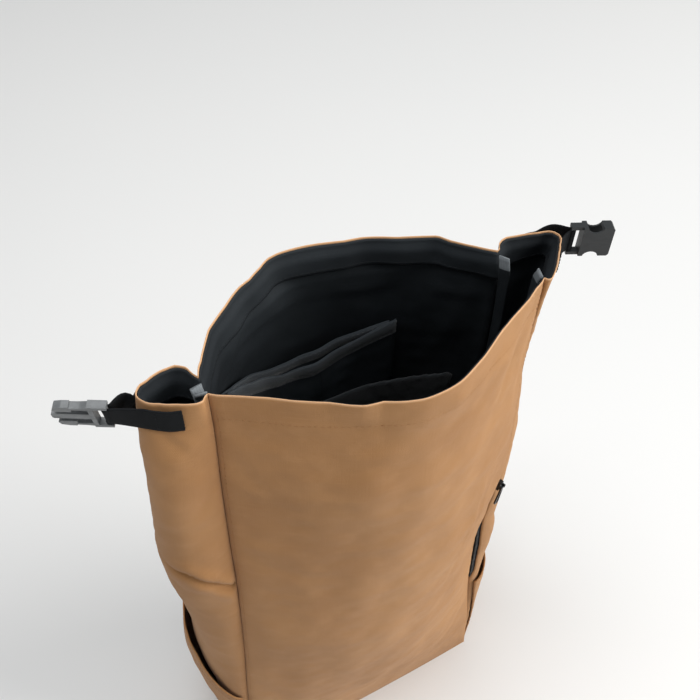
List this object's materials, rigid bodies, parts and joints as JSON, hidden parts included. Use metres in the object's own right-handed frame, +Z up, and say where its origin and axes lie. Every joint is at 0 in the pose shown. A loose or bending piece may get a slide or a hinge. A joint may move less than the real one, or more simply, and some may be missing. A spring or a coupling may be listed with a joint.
{
  "type": "rolltop backpack",
  "caption": "Tall rolltop backpack standing open, with a cloth shell, black lining, inner sleeves, side pockets, a side zipper, a side-release buckle and shoulder straps.",
  "frame": {"origin": "centre of the flat underside of the base", "axes": "+Z up through the mouth, the front panel faces -Y, the wearer's side faces +Y, and +X points to the viewer's right from the front"},
  "size_m": [0.429, 0.2035, 0.6028],
  "materials": {
    "canvas": "matt tan woven cloth with a fine weave",
    "lining": "smooth black lining cloth with a slight sheen",
    "webbing": "black woven webbing",
    "binding": "grey binding tape",
    "plastic": "dark grey moulded plastic",
    "metal": "black coated zinc"
  },
  "bodies": {
    "bag": {"back_pad": "webbing", "back_panel": "canvas", "base_panel": "canvas", "female_buckle": "plastic", "front_panel": "canvas", "haul_loop": "webbing", "laptop_sleeve": "lining", "left_gusset": "canvas", "left_lower_webbing": "webbing", "left_shoulder_strap": "canvas", "left_side_pocket": "canvas", "left_strap_adjuster": "plastic", "left_webbing_loop": "webbing", "lining": "lining", "male_buckle": "plastic", "mouth_facing": "lining", "right_gusset": "canvas", "right_lower_webbing": "webbing", "right_shoulder_strap": "canvas", "right_side_pocket": "canvas", "right_strap_adjuster": "plastic", "right_webbing_loop": "webbing", "seam_binding_back_left": "binding", "seam_binding_back_right": "binding", "seam_binding_front_left": "binding", "seam_binding_front_right": "binding", "slip_pocket": "lining", "tablet_sleeve": "lining", "zip_slider": "metal", "zip_tape": "webbing"},
    "puller": {"zip_puller": "metal"}
  },
  "joints": [
    {"name": "puller_hinge", "type": "hinge", "parent": "bag", "child": "puller", "pos_m": [0.13313, -0.05739, 0.3442], "axis": [-0.9419, -0.3229, 0.0923], "range_deg": [0, 100]}
  ]
}
